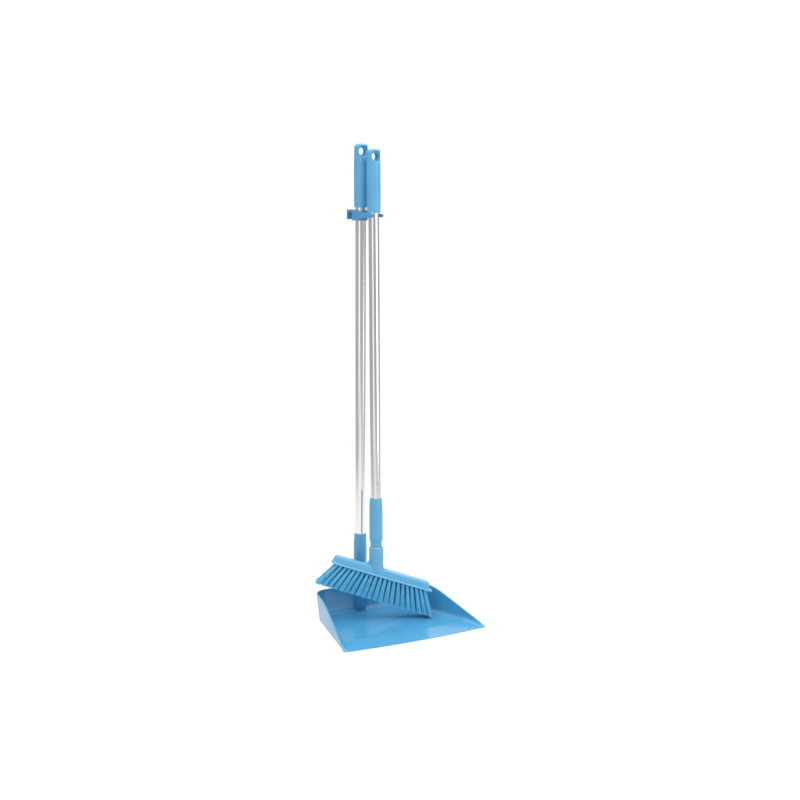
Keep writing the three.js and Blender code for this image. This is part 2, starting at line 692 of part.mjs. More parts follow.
function makeHead() {
  const head = new THREE.Group();
  head.add(makeBlock());
  for (let column = 0; column < TUFT_COLUMNS; column += 1) head.add(makeTuftColumn(column));
  head.rotation.y = BLOCK_TILT;
  head.position.z = -HEAD_SOCKET_LENGTH;
  return head;
}

// ---------- assembly ----------

// Lowest bristle tip, at the back because the handle leans back, in the frame of the broom's handle.
function lowestTip() {
  const reach = tuftTipX(TUFT_COLUMNS - 1) + tuftTipPitch() / 2;
  const back = TUFT_ROW_PITCH * TUFT_ROW_SPREAD * ((TUFT_ROWS - 1) / 2) + TUFT_TIP_DEPTH;
  const tip = new THREE.Vector3(reach, back, -TUFT_LENGTH);
  tip.applyAxisAngle(new THREE.Vector3(0, 1, 0), BLOCK_TILT);
  tip.z -= HEAD_SOCKET_LENGTH;
  return tip;
}

// Stands the broom on the pan's floor, with its tube through the jaw of a clip at the given height.
function placeBroom(broom, clipTop) {
  const tip = lowestTip();
  const seat = new THREE.Vector3(
    clipSpacing * Math.sin(CLIP_TURN),
    handleAxisDepth - clipSpacing * Math.cos(CLIP_TURN),
    clipTop - CLIP_ARM_DROP - CLIP_ARM_HEIGHT / 2,
  );
  const nominalFoot = new THREE.Vector3(BROOM_FOOT_X, broomFootDepth, FLOOR_THICKNESS - tip.z);
  const up = seat.clone().sub(nominalFoot).normalize();
  const across = new THREE.Vector3(Math.cos(BROOM_YAW), Math.sin(BROOM_YAW), 0);
  across.addScaledVector(up, -across.dot(up)).normalize();
  const basis = new THREE.Matrix4().makeBasis(across, up.clone().cross(across), up);
  broom.quaternion.setFromRotationMatrix(basis);
  const footHeight = FLOOR_THICKNESS + FLOOR_CLEARANCE - tip.applyMatrix4(basis).z;
  broom.position.copy(seat).addScaledVector(up, (footHeight - seat.z) / up.z);
  return up;
}

// Lowest point of the broom's grip, where its leaning end face dips.
function broomGripFoot(broom, up) {
  const along = broom.position.z + (ferruleFoot + FERRULE_LENGTH + BROOM_TUBE_EXPOSED) * up.z;
  return along - gripRadius * Math.sin(up.angleTo(new THREE.Vector3(0, 0, 1)));
}

// The clip sits just under whichever grip comes lower, and the broom leans to meet it.
function settleBroom(broom) {
  const highest = BOSS_HEIGHT + ferruleFoot + FERRULE_LENGTH + PAN_TUBE_EXPOSED - CLIP_GRIP_GAP;
  let clipTop = highest;
  for (let round = 0; round < SETTLE_ROUNDS; round += 1) {
    const up = placeBroom(broom, clipTop);
    clipTop = Math.min(highest, broomGripFoot(broom, up) + CLIP_ARM_DROP - CLIP_CLEARANCE);
  }
  return clipTop;
}

function makeSet() {
  const set = new THREE.Group();
  set.add(makePan());

  const panHandle = makeHandle('pan', PAN_TUBE_EXPOSED);
  panHandle.position.set(0, handleAxisDepth, BOSS_HEIGHT);

  const broom = new THREE.Group();
  const broomHandle = makeHandle('broom', BROOM_TUBE_EXPOSED);
  broomHandle.rotation.z = BROOM_GRIP_YAW - BROOM_YAW;
  broom.add(broomHandle, makeHead());

  const clip = makeClip();
  clip.position.set(0, handleAxisDepth, settleBroom(broom));
  clip.rotation.z = CLIP_TURN - Math.PI / 2;

  set.add(panHandle, clip, broom);
  set.position.y = -PAN_DEPTH / 2;
  return set;
}

const model = new THREE.Group();
model.add(makeSet());
model.updateMatrixWorld(true);

export default model;
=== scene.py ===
"""Looks of the upright dust pan and broom set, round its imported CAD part.

Lengths are in millimetres until a mesh is made, and bearings and tilts are in degrees.
The frame is the CAD frame: +Z up, the pan's mouth faces -Y, and X runs along its width.
"""

import json
import math
import random

import bmesh
import bpy
from mathutils import Matrix, Vector


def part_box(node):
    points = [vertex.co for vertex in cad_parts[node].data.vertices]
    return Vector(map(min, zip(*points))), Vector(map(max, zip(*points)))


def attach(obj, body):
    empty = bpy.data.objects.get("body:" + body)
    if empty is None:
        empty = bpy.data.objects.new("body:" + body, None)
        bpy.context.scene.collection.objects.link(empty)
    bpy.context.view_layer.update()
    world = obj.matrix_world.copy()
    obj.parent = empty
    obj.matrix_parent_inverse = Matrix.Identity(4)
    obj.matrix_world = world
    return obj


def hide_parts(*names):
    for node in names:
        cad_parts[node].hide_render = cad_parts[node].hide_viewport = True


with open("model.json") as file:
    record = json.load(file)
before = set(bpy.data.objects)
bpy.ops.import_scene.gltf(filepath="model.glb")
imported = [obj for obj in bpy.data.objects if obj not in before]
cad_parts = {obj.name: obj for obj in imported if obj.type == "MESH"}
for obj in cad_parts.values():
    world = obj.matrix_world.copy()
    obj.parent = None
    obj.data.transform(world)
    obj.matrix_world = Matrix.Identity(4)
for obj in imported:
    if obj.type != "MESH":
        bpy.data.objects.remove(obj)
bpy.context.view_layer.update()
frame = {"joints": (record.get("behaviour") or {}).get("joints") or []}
random.seed(27)

MM = 0.001

# Pan
FRONT_HALF = 165.5
PAN_DEPTH = 225
SIDE_TAPER = 0.288
CORNER_RADIUS = 30
WALL = 2.8
REAR_HEIGHT = 59
WALL_FLARE = 0.113
FOOT_RADIUS = 3
RIM_RADIUS = 1.1
FLOOR_FILLET = 10
LIP_THICKNESS = 1.2
LIP_BOW = 8.6
BOW_FADE_START = 60
RIM_START = (12, 8)
SHOULDER_DEPTH = 142
SHOULDER_ROUND = 26
FLOOR_HEIGHTS = [(0, 1.2), (15, 2.4), (47, 5.2), (51, 5.4), (56, 5.3), (70, 5.05), (100, 4.8), (225, 4.8)]
ROW_STEP = 2.5
HANDLE_SET_IN = 1  # the handle's axis stands this far before the pan's rear
CORNER_STEPS = 14
REAR_STEPS = 9
BOSS_STEPS = 24
SECTION_STEPS = 4  # points on each straight or round stretch of the wall's section
ROUND_LIMIT = 2.2  # a rounding is at most the wall's height over this
BOSS_RADIUS = 14.7
BOSS_HEIGHT = 69.5
BOSS_DOME = 16
BOSS_FILLET = 5
BOSS_OVERLAP = 0.6
BOSS_SINK = 0.4
BOSS_RIM_ROUND = 1.4
SOCKET_BORE = 9.9
SOCKET_FOOT_GAP = 2

# Handles
TUBE_RADIUS = 11
TUBE_WALL = 1
TUBE_EDGE = 0.2
PAN_TUBE_EXPOSED = 675
BROOM_TUBE_EXPOSED = 580
FERRULE_LENGTH = 89.7
FERRULE_RADIUS = 13.7
FERRULE_TOP_RADIUS = 12.2
FERRULE_BORE_DEPTH = 60
FERRULE_ROUND = 1.1
NECK_LENGTH = 10.5
NECK_RADIUS = 11.7
SPIGOT_RADIUS = 9.6
SPIGOT_LENGTH = 30
SEAT_GAP = 0.3
GRIP_LENGTH = 127.7
GRIP_RADIUS = 13.7
GRIP_SWELL = 0.6
GRIP_BORE_DEPTH = 92
ARCH_RADIUS = 14.6
HOLE_RADIUS = 7.3
HOLE_BEVEL = 6
HOLE_WAIST = 3.6
HOLE_DROP = 15.5
GRIP_CROWN = 24  # the top also falls to the front and back, round this radius
GRIP_CUT = 30
HOLE_CUT = 40
PAST = 9  # how far a cutting shape stands past the end of what it cuts

# Clip
CLIP_SPACING = 35
CLIP_TURN = 18
CLIP_HEIGHT = 22
CLIP_WALL = 2.6
CLIP_CUT = (-60, 20)
CLIP_EDGE = 1.5
JAW_GAP = 0.5
ARM_DROP = 7.4
ARM_HEIGHT = 7.2
ARM_REACH = 13.5
ARM_FLARE = 1.6
HOOK_GAP = 12
HOOK_DROP = 20
HOOK_WALL = 2.2

# Broom head
BROOM_YAW = -27
GRIP_YAW = 5
BLOCK_TILT = 17.6
BLOCK_LENGTH = 217.8
BLOCK_WIDTH = 34
BLOCK_HEIGHT = 16.5
BLOCK_CORNER = 9
BLOCK_OFFSET = 11.5
TUFT_OFFSET = 10
# share of the height, then how far the flanks, the left end and the right end draw in
BLOCK_LEVELS = [
    (0, 0.4, 0.3, 0.4), (0.03, 0, 0, 0), (0.06, 0, 0, 0.3), (0.1, 1.4, 0.5, 3),
    (0.14, 2.4, 1.1, 5.2), (0.25, 3.2, 2, 7.4), (0.5, 3.9, 2.9, 8.8), (0.65, 4.4, 3.3, 9.4),
    (0.8, 5, 3.8, 10), (0.88, 5.6, 4.2, 10.6), (0.94, 6.6, 5, 11.4), (1, 8.3, 6.3, 13),
]
HEAD_SOCKET_RADIUS = 14.6
HEAD_SOCKET_LENGTH = 60.2
WEB_DEPTH = 17
WEB_SINK = 1.5
# the web's two sides: which side, how far its foot reaches, and how high it climbs the socket
WEB_SIDES = ((-1, 12, 15), (1, 6, 7))

# Bristles
COLUMNS = 21
ROWS = 3
TUFT_PITCH = 9.4
ROW_PITCH = 10
TUFT_RADIUS = 2.9
TUFT_LENGTH = 49.8
FAN_LEFT = 27.7
FAN_RIGHT = 27.3
ROW_SPREAD = 1.15
TIP_RADIUS = (5.6, 6.4)
FILAMENTS = 100
FILAMENT_RADIUS = 0.3
FILAMENT_SIDES = 5
FILAMENT_STEPS = 6
FILAMENT_TAPER = 0.15
ROOT_DEPTH = 0.08  # share of a strand's length that is hidden in the block
GOLDEN_ANGLE = 2.39996
TUFT_SWAY = 0.5
ANGLE_JITTER = 0.15
TIP_JITTER = (0.35, 0.4, 0.45)
BOW_JITTER = 0.35
BOW_INWARD = (0.5, 0.6)

COLOURS = {
    "pan": "4c99c4",
    "ferrule": "5aa6cc",
    "grip": "60afda",
    "clip": "569ac8",
    "block": "60a9d0",
    "bristle": "6accf2",
    "metal": "e9e8e6",
}

# Camera
CAMERA_BEARING = 32.188
CAMERA_HEADING = 31.509
CAMERA_DISTANCE = 3.0004
CAMERA_HEIGHT = 0.94274
CAMERA_PITCH = 8.755
CAMERA_ROLL = 0.34
CAMERA_LENS = 70.53
SENSOR_WIDTH = 36
VIEW_END = 100

# Studio, in metres and watts
FLOOR_REACH = 40
FLOOR_BASE = 0.12
# painted light: the floor glows with this emission strength inside the white wedge, then with the next one
# beside it
FLOOR_GLOW = 0.96
FLOOR_SIDE_GLOW = 0.35
GLOW_WEDGE_SPREAD = 0.32  # the floor's painted glow is white in a zone that widens along the camera's heading by this much each way
GLOW_WEDGE_FADE = 0.8
WORLD_SIDES = 0.42
WORLD_BACKDROP = 1.1
WORLD_CEILING = 1.5
BACKDROP_RISE = 0.35  # how far the backdrop's middle is lifted from the level
BACKDROP_SPAN = (0.75, 0.93)
CEILING_SPAN = (0.45, 0.85)
PANEL_TARGET = (0, 0.02, 0.45)
# name, bearing, height, distance, size, power
PANELS = (
    ("panel_left", 60, 1.0, 2.6, (1.4, 2.6), 9),
    ("panel_right", -30, 1.0, 2.6, (1.9, 2.6), 24),
    ("panel_top", 180, 3.4, 0.2, (3, 3), 44),
)


# ---------- frames taken from the CAD ----------

pan_tube_low, pan_tube_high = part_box("pan_tube")
handle_y = (pan_tube_low.y + pan_tube_high.y) / 2
pan_front_y = handle_y - (PAN_DEPTH - HANDLE_SET_IN) * MM
screw = next(j for j in frame["joints"] if j["name"] == "broom_handle_screw")
broom_up = Vector(screw["axis"]).normalized()
broom_foot = Vector(screw["pos_m"]) - broom_up * (NECK_LENGTH + SEAT_GAP) * MM
clip_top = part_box("handle_clip")[1].z


def upright(origin, up, turn):
    """A frame whose Z runs along up and whose X is level before it is turned about Z."""
    across = Vector((math.cos(math.radians(turn)), math.sin(math.radians(turn)), 0))
    across = (across - up * across.dot(up)).normalized()
    away = up.cross(across)
    basis = Matrix((across, away, up)).transposed().to_4x4()
    return Matrix.Translation(origin) @ basis


pan_frame = Matrix.Translation((0, pan_front_y, 0))
pan_handle_frame = Matrix.Translation((0, handle_y, BOSS_HEIGHT * MM))
broom_frame = upright(broom_foot, broom_up, BROOM_YAW)
broom_handle_frame = broom_frame @ Matrix.Rotation(math.radians(GRIP_YAW - BROOM_YAW), 4, "Z")
head_frame = (
    broom_frame
    @ Matrix.Translation((0, 0, -HEAD_SOCKET_LENGTH * MM))
    @ Matrix.Rotation(math.radians(BLOCK_TILT), 4, "Y")
)
clip_frame = Matrix.Translation((0, handle_y, clip_top)) @ Matrix.Rotation(
    math.radians(CLIP_TURN - 90), 4, "Z"
)


# ---------- mesh helpers ----------

def mesh_of(name, points, faces):
    """A closed mesh in metres from points in millimetres, with doubles merged and faces turned out."""
    mesh = bpy.data.meshes.new(name)
    mesh.from_pydata([tuple(c * MM for c in p) for p in points], [], faces)
    work = bmesh.new()
    work.from_mesh(mesh)
    bmesh.ops.remove_doubles(work, verts=work.verts, dist=1e-6)
    bmesh.ops.dissolve_degenerate(work, edges=work.edges, dist=1e-7)
    bmesh.ops.recalc_face_normals(work, faces=work.faces)
    work.to_mesh(mesh)
    work.free()
    return mesh


def piece(name, mesh, material, place, body, nodes=(), sharp=38):
    """Puts a mesh in the scene, shades it, and lets it ride on its CAD body."""
    mesh.transform(place)
    for polygon in mesh.polygons:
        polygon.use_smooth = True
    mesh.set_sharp_from_angle(angle=math.radians(sharp))
    mesh.materials.clear()
    mesh.materials.append(material)
    made = bpy.data.objects.new(name, mesh)
    bpy.context.scene.collection.objects.link(made)
    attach(made, body)
    if nodes:
        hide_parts(*nodes)
    return made


def rings_mesh(name, rings, closed=False, capped=True):
    """Joins rings of equally many points. closed links the last to the first, else flat caps may end them."""
    count = len(rings[0])
    points = [p for ring in rings for p in ring]
    faces = []
    for r in range(len(rings) if closed else len(rings) - 1):
        low, high = r * count, (r + 1) % len(rings) * count
        for i in range(count):
            j = (i + 1) % count
            faces.append((low + i, low + j, high + j, high + i))
    if capped and not closed:
        faces.append(tuple(range(count)))
        faces.append(tuple(range(len(points) - count, len(points))))
    return mesh_of(name, points, faces)


def turned(name, profile, steps=96):
    """A lathe about Z from (radius, height) pairs that close on themselves or end on the axis."""
    angles = [2 * math.pi * i / steps for i in range(steps)]
    rings = [[(r * math.cos(a), r * math.sin(a), height) for a in angles] for r, height in profile]
    on_axis = profile[0][0] == 0 and profile[-1][0] == 0
    return rings_mesh(name, rings, closed=not on_axis, capped=False)


def rounded(profile, radius, steps=4):
    """The same profile with its inner corners rounded off, as far as their sides allow."""
    out = [profile[0]]
    for before, corner, after in zip(profile, profile[1:], profile[2:]):
        here = Vector(corner)
        back, on = Vector(before) - here, Vector(after) - here
        size = min(radius, back.length * 0.45, on.length * 0.45)
        start, end = here + back.normalized() * size, here + on.normalized() * size
        for i in range(steps + 1):
            t = i / steps
            out.append(tuple(start * (1 - t) ** 2 + here * 2 * t * (1 - t) + end * t * t))
    out.append(profile[-1])
    return out


def prism(name, outline, low, high, plane="xy"):
    """An outline pushed from low to high, along Z, or along Y for an outline in x and z."""
    if plane == "xy":
        rings = [[(x, y, level) for x, y in outline] for level in (low, high)]
    else:
        rings = [[(x, level, z) for x, z in outline] for level in (low, high)]
    return rings_mesh(name, rings)


def arc(centre, radius, start, end, steps):
    """Points on an arc between two angles in degrees."""
    angles = [math.radians(start + (end - start) * i / steps) for i in range(steps + 1)]
    return [(centre[0] + radius * math.cos(a), centre[1] + radius * math.sin(a)) for a in angles]


def bent(start, middle, end, steps):
    """Points on a quadratic curve."""
    a, b, c = Vector(start), Vector(middle), Vector(end)
    ts = [i / steps for i in range(steps + 1)]
    return [tuple(a * (1 - t) ** 2 + b * 2 * t * (1 - t) + c * t * t) for t in ts]


def applied(obj):
    """The object's mesh with its modifiers applied; the object itself is removed."""
    bpy.context.view_layer.update()
    graph = bpy.context.evaluated_depsgraph_get()
    mesh = bpy.data.meshes.new_from_object(obj.evaluated_get(graph))
    bpy.data.objects.remove(obj)
    return mesh


def scratch(mesh):
    """A temporary object that holds a mesh for a modifier."""
    made = bpy.data.objects.new("scratch", mesh)
    bpy.context.scene.collection.objects.link(made)
    return made


def combined(base, tools, operation):
    """The base mesh joined with, cut by or kept within each tool mesh in turn."""
    for tool in tools:
        body, other = scratch(base), scratch(tool)
        modifier = body.modifiers.new("combine", "BOOLEAN")
        modifier.operation, modifier.solver, modifier.object = operation, "EXACT", other
        base = applied(body)
        bpy.data.objects.remove(other)
    return base


def moulded(mesh, voxel=0.6, passes=3):
    """The mesh rebuilt as one even skin, which rounds its edges as a mould does."""
    body = scratch(mesh)
    remesh = body.modifiers.new("skin", "REMESH")
    remesh.mode, remesh.voxel_size, remesh.use_smooth_shade = "VOXEL", voxel * MM, True
    smooth = body.modifiers.new("soft", "SMOOTH")
    smooth.factor, smooth.iterations = 0.5, passes
    return applied(body)


# ---------- materials ----------

def linear(code, gain=1.0):
    """A hex sRGB colour as linear RGBA, made lighter or darker by a gain."""
    channels = [int(code[i:i + 2], 16) / 255 for i in (0, 2, 4)]
    lights = [c / 12.92 if c <= 0.04045 else ((c + 0.055) / 1.055) ** 2.4 for c in channels]
    return [min(1, light * gain) for light in lights] + [1]


class Finish:
    """A Principled material with helpers for layers of procedural detail."""

    def __init__(self, name, code, roughness, metallic=0.0):
        self.material = bpy.data.materials.new(name)
        self.material.use_nodes = True
        self.nodes = self.material.node_tree.nodes
        self.links = self.material.node_tree.links
        self.shader = self.nodes["Principled BSDF"]
        self.shader.inputs["Base Color"].default_value = linear(code)
        self.shader.inputs["Roughness"].default_value = roughness
        self.shader.inputs["Metallic"].default_value = metallic
        self.coordinates = self.nodes.new("ShaderNodeTexCoord").outputs["Object"]
        self.normal = None

    def noise(self, size, stretch=(1, 1, 1), detail=3.0):
        """Noise with features of about this size in millimetres, longer along the stretched axes."""
        mapping = self.nodes.new("ShaderNodeMapping")
        mapping.inputs["Scale"].default_value = [1 / s for s in stretch]
        self.links.new(self.coordinates, mapping.inputs["Vector"])
        texture = self.nodes.new("ShaderNodeTexNoise")
        texture.inputs["Scale"].default_value = 1 / (size * MM)
        texture.inputs["Detail"].default_value = detail
        self.links.new(mapping.outputs["Vector"], texture.inputs["Vector"])
        return texture.outputs["Fac"]

    def ranged(self, value, low, high, start=0.35, end=0.65):
        """A value spread from its start..end span over low..high."""
        spread = self.nodes.new("ShaderNodeMapRange")
        for key, number in zip(("From Min", "From Max", "To Min", "To Max"), (start, end, low, high)):
            spread.inputs[key].default_value = number
        self.links.new(value, spread.inputs["Value"])
        return spread.outputs["Result"]

    def tint(self, value, dark, light):
        """Base colour that drifts between two colours."""
        mix = self.nodes.new("ShaderNodeMix")
        mix.data_type = "RGBA"
        mix.inputs["A"].default_value = dark
        mix.inputs["B"].default_value = light
        self.links.new(self.ranged(value, 0, 1), mix.inputs["Factor"])
        self.links.new(mix.outputs["Result"], self.shader.inputs["Base Color"])

    def roughen(self, value, low, high):
        """Gloss that drifts between two roughnesses."""
        self.links.new(self.ranged(value, low, high), self.shader.inputs["Roughness"])

    def bump(self, value, depth, strength=1.0):
        """Adds relief of this depth in millimetres over what is there already."""
        relief = self.nodes.new("ShaderNodeBump")
        relief.inputs["Distance"].default_value = depth * MM
        relief.inputs["Strength"].default_value = strength
        self.links.new(value, relief.inputs["Height"])
        if self.normal is not None:
            self.links.new(self.normal, relief.inputs["Normal"])
        self.normal = relief.outputs["Normal"]
        self.links.new(self.normal, self.shader.inputs["Normal"])


def plastic(name, code, roughness, grain, drift=0.05):
    """Moulded polypropylene: faint flow clouds, a fine texture, and handling marks in the gloss."""
    finish = Finish(name, code, roughness)
    finish.tint(finish.noise(45), linear(code, 1 - drift), linear(code, 1 + drift))
    finish.roughen(finish.noise(30, (1, 1, 3), 2.0), roughness - 0.03, roughness + 0.04)
    finish.bump(finish.noise(60, detail=0.0), 0.02, 0.2)
    finish.bump(finish.noise(0.9, detail=2.0), grain, 0.1)
    return finish.material


def aluminium(name):
    """Satin anodised tube with the fine drawn lines of its extrusion."""
    finish = Finish(name, COLOURS["metal"], 0.16, 1.0)
    lines = finish.noise(0.7, (1, 1, 900), 2.0)
    finish.tint(finish.noise(25, (1, 1, 6)), linear(COLOURS["metal"], 0.95), linear(COLOURS["metal"], 1.03))
    finish.roughen(lines, 0.13, 0.2)
    finish.bump(lines, 0.003, 0.3)
    return finish.material


def filament(name):
    """Polyester bristle: each strand a little lighter or darker than the next."""
    finish = Finish(name, COLOURS["bristle"], 0.36)
    strands = finish.noise(0.9, (1, 1, 30), 1.0)
    finish.tint(strands, linear(COLOURS["bristle"], 0.93), linear(COLOURS["bristle"], 1.07))
    finish.roughen(finish.noise(3), 0.3, 0.42)
    return finish.material


# ---------- pan ----------

def rim_height(depth):
    """Height of the pan's wall at a depth behind the front edge."""
    start_depth, start_height = RIM_START
    slope = (REAR_HEIGHT - start_height) / (SHOULDER_DEPTH - start_depth)
    bend = SHOULDER_DEPTH - SHOULDER_ROUND
    if depth <= start_depth:
        t = math.sqrt(1 + 3 * max(0, depth) / start_depth) - 1
        return (1 - t) ** 2 * LIP_THICKNESS + t * (1 - t) * start_height + t * t * start_height
    if depth <= bend:
        return start_height + slope * (depth - start_depth)
    if depth < SHOULDER_DEPTH + SHOULDER_ROUND:
        t = (depth - bend) / (2 * SHOULDER_ROUND)
        return REAR_HEIGHT - slope * SHOULDER_ROUND * (1 - t) ** 2
    return REAR_HEIGHT


def floor_height(depth):
    """Height of the pan's inner floor, with its ramp behind the lip."""
    for (near, low), (far, high) in zip(FLOOR_HEIGHTS, FLOOR_HEIGHTS[1:]):
        if depth <= far:
            t = max(0, depth - near) / (far - near)
            return low + (high - low) * t
    return FLOOR_HEIGHTS[-1][1]


def wall_path():
    """The right half of the wall, from the front to the rear's middle, as functions of an offset."""
    slant = math.hypot(1, SIDE_TAPER)
    lean = math.atan(SIDE_TAPER)
    centre_y = PAN_DEPTH - CORNER_RADIUS
    centre_x = FRONT_HALF - centre_y * SIDE_TAPER - CORNER_RADIUS * slant
    rows = math.ceil(centre_y / ROW_STEP)
    path = []

    def side(t):
        def at(offset):
            radius = CORNER_RADIUS + offset
            front = Vector((FRONT_HALF + offset * slant, 0))
            rear = Vector((centre_x + radius * math.cos(lean), centre_y + radius * math.sin(lean)))
            return front.lerp(rear, t)
        return at

    def corner(angle):
        def at(offset):
            radius = CORNER_RADIUS + offset
            return Vector((centre_x + radius * math.cos(angle), centre_y + radius * math.sin(angle)))
        return at

    def rear(x):
        return lambda offset: Vector((x, PAN_DEPTH + offset))

    path += [side(i / rows) for i in range(rows)]
    path += [corner(lean + (math.pi / 2 - lean) * i / CORNER_STEPS) for i in range(CORNER_STEPS)]
    near = BOSS_RADIUS + BOSS_FILLET + 1
    path += [rear(centre_x + (near - centre_x) * i / REAR_STEPS) for i in range(REAR_STEPS)]
    path += [rear(near * (1 - i / BOSS_STEPS)) for i in range(BOSS_STEPS + 1)]
    return path


def wall_profile(depth):
    """(inset, height) pairs round the wall's section: floor, fillet, inside, rim, outside, underside."""
    top, floor = rim_height(depth), floor_height(depth)
    rim = min(RIM_RADIUS, top / ROUND_LIMIT)
    foot = min(FOOT_RADIUS, top / ROUND_LIMIT)
    lift = max(0.0, min(FLOOR_FILLET, top - rim - floor))
    sweep = math.acos(1 - lift / FLOOR_FILLET)
    profile = []
    for i in range(2 * SECTION_STEPS + 1):
        angle = sweep * i / (2 * SECTION_STEPS)
        profile.append((
            WALL + FLOOR_FILLET * (1 - math.sin(angle)),
            min(floor + FLOOR_FILLET * (1 - math.cos(angle)), max(top - rim, min(floor, top))),
        ))
    inside, low = profile[-1]
    for i in range(1, SECTION_STEPS + 1):
        profile.append((inside, low + (max(top - rim, low) - low) * i / SECTION_STEPS))
    for i in range(1, SECTION_STEPS + 1):
        angle = math.pi / 2 * i / SECTION_STEPS
        profile.append((inside - rim * (1 - math.cos(angle)), top - rim * (1 - math.sin(angle))))
    for i in range(SECTION_STEPS):
        angle = math.pi / 2 * (1 - i / SECTION_STEPS)
        profile.append((rim * (1 - math.cos(angle)), top - rim * (1 - math.sin(angle))))
    for i in range(SECTION_STEPS):
        profile.append((0, (top - rim) + (foot - top + rim) * i / SECTION_STEPS))
    for i in range(SECTION_STEPS + 1):
        angle = math.pi / 2 * i / SECTION_STEPS
        profile.append((foot * (1 - math.cos(angle)), foot * (1 - math.sin(angle))))
    profile.append((WALL + FLOOR_FILLET, 0))
    return profile


def boss_swell(x, z):
    """How far the wall rises to meet the boss at its sides."""
    turn = min(1, max(0, 1 - (z - floor_height(PAN_DEPTH)) / BOSS_DOME))
    radius = BOSS_RADIUS * math.sqrt(1 - turn * turn)
    gap = abs(x) - radius + BOSS_OVERLAP
    fillet = min(BOSS_FILLET, radius / 2 + 0.01)
    if gap >= fillet:
        return 0
    return fillet - math.sqrt(max(0, fillet * fillet - (fillet - max(0, gap)) ** 2))


def bowed(x, y, z):
    """Carries a point forward with the lip's bow."""
    share = min(1, abs(x) / FRONT_HALF)
    fade = min(1, max(0, 2 - y / BOW_FADE_START))
    return (x, y - LIP_BOW * (1 - share * share) * fade, z)


def pan_mesh():
    """The whole pan as one closed skin: a wall strip along the path, then the floor and the underside."""
    half = wall_path()
    path = [(at, 1) for at in half] + [(at, -1) for at in reversed(half[:-1])]
    points, faces = [], []
    width = len(wall_profile(0))
    for at, sign in path:
        depth = at(0).y
        for m, (inset, z) in enumerate(wall_profile(depth)):
            offset = WALL_FLARE * z - inset
            spot = at(offset)
            if depth > PAN_DEPTH - 1 and z > floor_height(depth):
                swell = boss_swell(spot.x, z)
                spot = at(offset - swell if m < width / 2 else offset + swell)
            points.append(bowed(sign * spot.x, spot.y, z))
    for k in range(len(path) - 1):
        for m in range(width - 1):
            a, b = k * width + m, (k + 1) * width + m
            faces.append((a, a + 1, b + 1, b))
    faces.append(tuple(range(width)))
    faces.append(tuple(len(points) - width + m for m in range(width)))

    side_rows = next(i for i, at in enumerate(half) if at(0).y > PAN_DEPTH - 0.01)
    rear = list(range(side_rows, len(path) - side_rows))
    xs = [path[k][0](0).x * path[k][1] for k in rear]
    shares = [(x - xs[0]) / (xs[-1] - xs[0]) for x in xs]
    fronts = []
    for edge in (0, width - 1):
        last = None
        for row in range(side_rows + 1):
            right = points[row * width + edge]
            left = points[(len(path) - 1 - row) * width + edge]
            line = [row * width + edge]
            if row < side_rows:
                depth = half[row](WALL_FLARE * floor_height(0) - WALL - FLOOR_FILLET).y
                z = floor_height(half[row](0).y) if edge == 0 else 0
                for share in shares[1:-1]:
                    points.append(bowed(right[0] + (left[0] - right[0]) * share, depth, z))
                    line.append(len(points) - 1)
                line.append((len(path) - 1 - row) * width + edge)
            else:
                line = [k * width + edge for k in rear]
            if last:
                for i in range(len(line) - 1):
                    faces.append((last[i], last[i + 1], line[i + 1], line[i]))
            else:
                fronts.append(line)
            last = line
    top, bottom = fronts
    for i in range(len(top) - 1):
        faces.append((top[i], bottom[i], bottom[i + 1], top[i + 1]))
    return mesh_of("pan_shell", points, faces)


def boss_mesh():
    """The socket at the rear wall, with a domed foot and a bore for the spigot."""
    floor = floor_height(PAN_DEPTH) - BOSS_SINK
    outer = [(0, floor)]
    for i in range(1, BOSS_STEPS // 2 + 1):
        angle = math.pi / BOSS_STEPS * i
        outer.append((BOSS_RADIUS * math.sin(angle), floor + BOSS_DOME * (1 - math.cos(angle))))
    bottom = BOSS_HEIGHT - SPIGOT_LENGTH - SOCKET_FOOT_GAP
    rim = rounded([
        (BOSS_RADIUS, BOSS_HEIGHT - 6),
        (BOSS_RADIUS, BOSS_HEIGHT),
        (SOCKET_BORE, BOSS_HEIGHT),
        (SOCKET_BORE, BOSS_HEIGHT - SPIGOT_LENGTH),
    ], BOSS_RIM_ROUND)
    return turned("boss", outer + rim + [(SOCKET_BORE, bottom), (0, bottom)])


# ---------- handles ----------

def ferrule_mesh():
    """Moulded ferrule: necked foot, straight barrel and a gentle taper; zero is its shoulder."""
    mouth = FERRULE_LENGTH - FERRULE_BORE_DEPTH
    bore = TUBE_RADIUS + SEAT_GAP
    profile = rounded([
        (0, -NECK_LENGTH - SPIGOT_LENGTH),
        (SPIGOT_RADIUS, -NECK_LENGTH - SPIGOT_LENGTH),
        (SPIGOT_RADIUS, -NECK_LENGTH),
        (NECK_RADIUS, -NECK_LENGTH),
        (NECK_RADIUS, -1.2),
        (FERRULE_RADIUS - 0.5, 0.5),
        (FERRULE_RADIUS, 5),
        (FERRULE_RADIUS, FERRULE_LENGTH * 0.66),
        (FERRULE_RADIUS - 0.3, FERRULE_LENGTH * 0.82),
        (FERRULE_TOP_RADIUS + 0.35, FERRULE_LENGTH - 3),
        (FERRULE_TOP_RADIUS, FERRULE_LENGTH),
        (bore, FERRULE_LENGTH),
        (bore, mouth),
        (0, mouth),
    ], FERRULE_ROUND)
    return turned("ferrule", profile)


def tube_mesh(exposed):
    """Thin-walled tube with lightly broken ends."""
    length = exposed + FERRULE_BORE_DEPTH + GRIP_BORE_DEPTH - 2 * SEAT_GAP
    inner = TUBE_RADIUS - TUBE_WALL
    low, high = TUBE_EDGE, length - TUBE_EDGE
    return turned("tube", [
        (inner, low), (inner + TUBE_EDGE, 0), (TUBE_RADIUS - TUBE_EDGE, 0), (TUBE_RADIUS, low),
        (TUBE_RADIUS, high), (TUBE_RADIUS - TUBE_EDGE, length), (inner + TUBE_EDGE, length), (inner, high),
    ])


